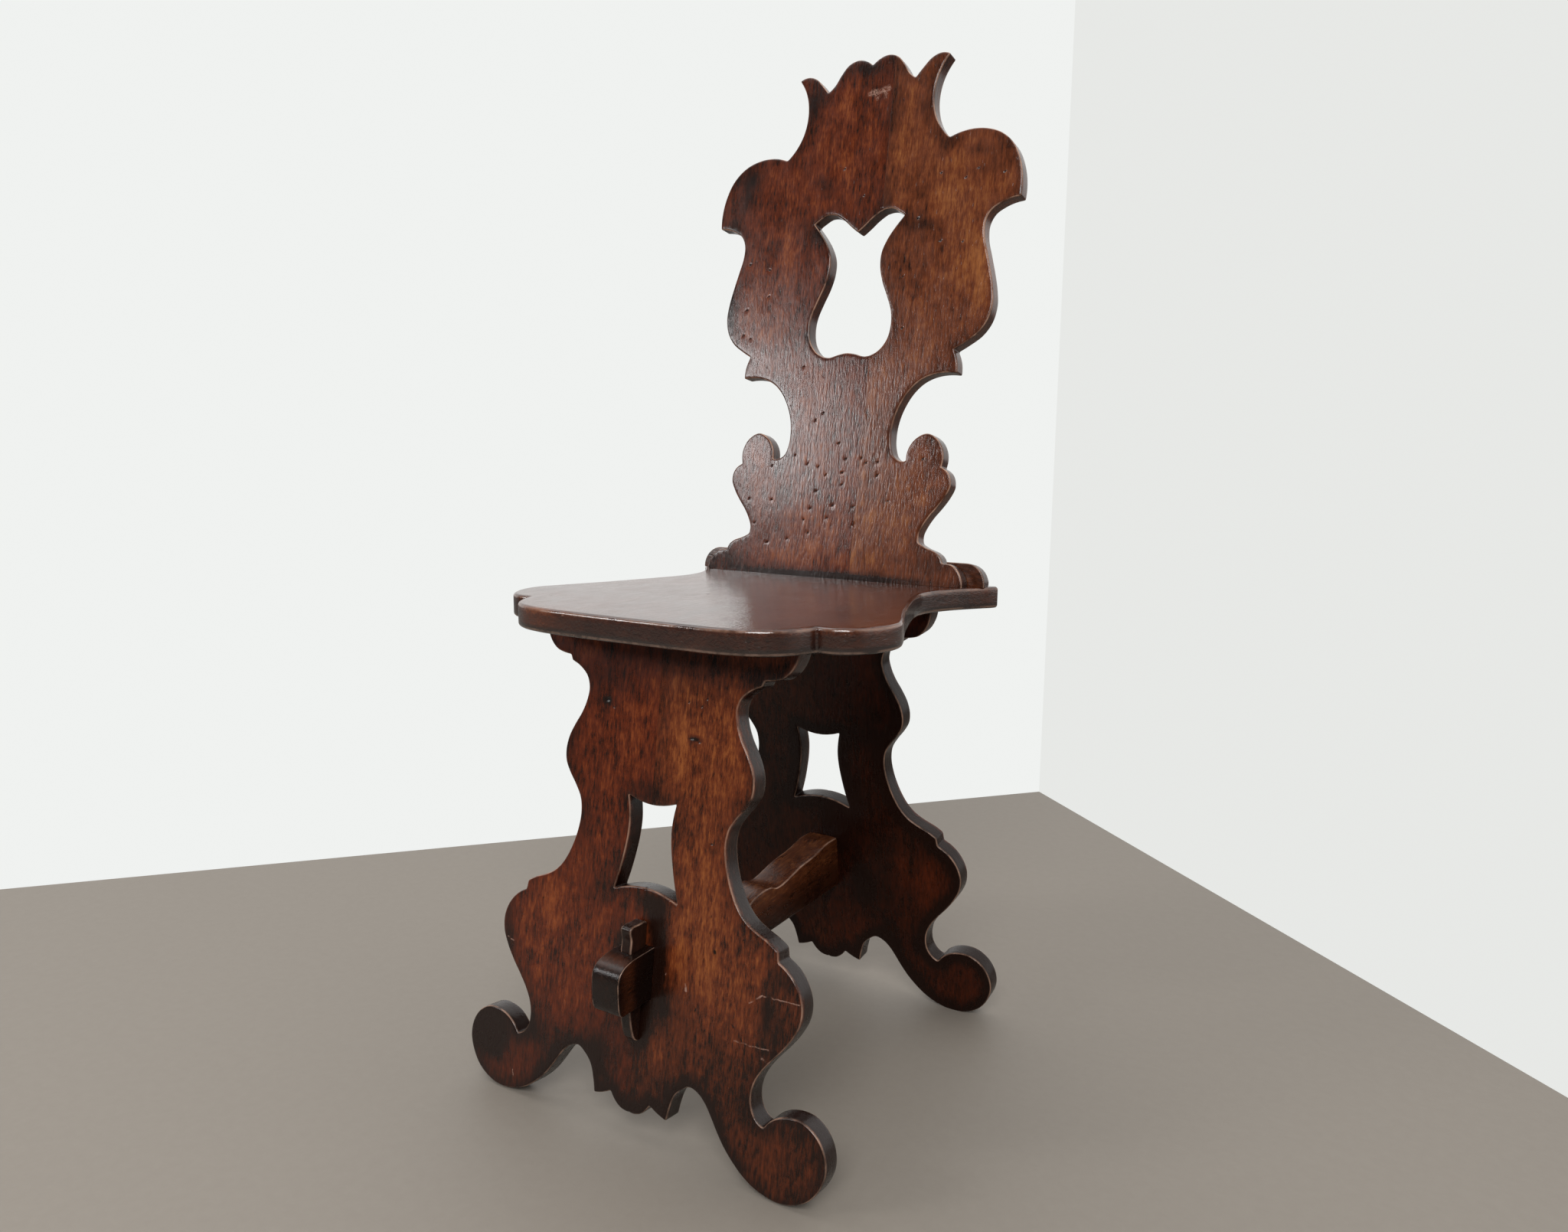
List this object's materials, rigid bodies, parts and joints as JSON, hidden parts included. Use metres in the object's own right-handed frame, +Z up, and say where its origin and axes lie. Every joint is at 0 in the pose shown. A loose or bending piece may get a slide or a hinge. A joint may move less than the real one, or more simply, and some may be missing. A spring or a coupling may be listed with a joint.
{
  "type": "hall chair",
  "caption": "Wooden hall chair with a tall shaped and pierced back, a scalloped plank seat and splayed scroll-footed trestle boards tied by a keyed stretcher.",
  "frame": {"origin": "on the floor, under the centre of the box over the whole chair", "axes": "+X across the seat to the sitter's left, the front faces -Y, +Z up from the floor"},
  "size_m": [0.405, 0.478, 1.028],
  "materials": {
    "dark_board": "satin",
    "light_board": "satin",
    "seat_wood": "satin",
    "rail_wood": "satin",
    "key_wood": "satin",
    "screw_iron": "dull"
  },
  "bodies": {
    "chair": {"front_trestle_left_plank": "dark_board", "front_trestle_right_plank": "light_board", "rear_trestle_left_plank": "light_board", "rear_trestle_right_plank": "dark_board", "stretcher": "rail_wood", "seat_board": "seat_wood", "back_left_plank": "dark_board", "back_right_plank": "light_board", "back_cleat": "rail_wood", "cleat_screws": "screw_iron", "seat_screws": "screw_iron"},
    "front_key": {"front_wedge": "key_wood"},
    "rear_key": {"rear_wedge": "key_wood"}
  },
  "joints": [
    {"name": "front_key_draw", "type": "slide", "parent": "chair", "child": "front_key", "axis": [0, 0.1357, 0.9907], "range_m": [0, 0.088]},
    {"name": "rear_key_draw", "type": "slide", "parent": "chair", "child": "rear_key", "axis": [0, -0.1167, 0.9932], "range_m": [0, 0.088]}
  ]
}
